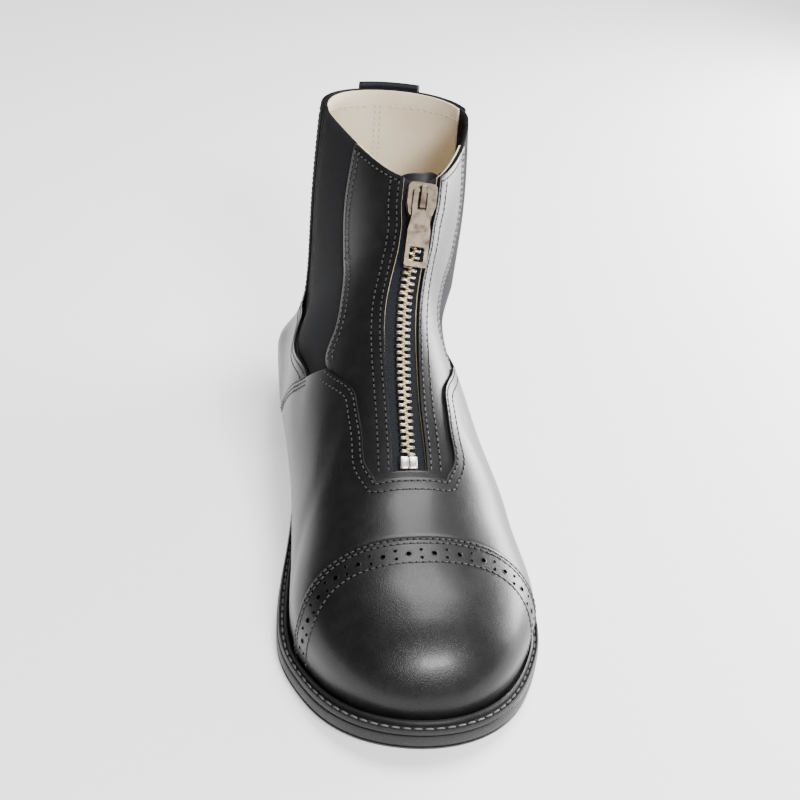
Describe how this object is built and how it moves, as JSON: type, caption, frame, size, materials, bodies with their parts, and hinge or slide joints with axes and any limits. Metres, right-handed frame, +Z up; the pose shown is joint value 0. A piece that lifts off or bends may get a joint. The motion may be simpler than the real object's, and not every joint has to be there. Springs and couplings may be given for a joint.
{
  "type": "paddock boot",
  "caption": "Ankle-high black leather riding boot for the left foot, with front zip, elastic side gores and welted rubber sole with a low heel.",
  "frame": {"origin": "on the ground under the middle of the outsole's length and width", "axes": "+Z up, -Y towards the toe, +X towards the outer side of the foot (left boot)"},
  "size_m": [0.1098, 0.283, 0.1628],
  "materials": {
    "black_leather": "smooth, soft satin gloss",
    "toe_leather": "smooth, a little glossier",
    "elastic": "matt ribbed elastic",
    "rubber": "semi-matt moulded",
    "heel_stack": "smooth, dressed edge",
    "lining": "cream lining leather, matt",
    "webbing": "woven tape",
    "antique_brass": "antiqued, satin",
    "nickel": "bright plated"
  },
  "bodies": {
    "boot": {"outsole": "rubber", "heel_block": "heel_stack", "heel_top_piece": "rubber", "welt": "rubber", "insole": "lining", "upper": "black_leather", "toe_cap": "toe_leather", "vamp": "toe_leather", "back_panel": "toe_leather", "gore_inner": "elastic", "gore_outer": "elastic", "zip_tape": "webbing", "zip_guard": "black_leather", "zip_teeth": "nickel", "zip_bottom_stop": "nickel", "zip_slider": "antique_brass", "pull_loop": "webbing"},
    "pull": {"zip_pull": "antique_brass"}
  },
  "joints": [
    {"name": "pull_swing", "type": "hinge", "parent": "boot", "child": "pull", "pos_m": [0.01077, 0.03875, 0.15074], "axis": [-0.9904, 0.0822, 0.1108], "range_deg": [0, 150]}
  ]
}
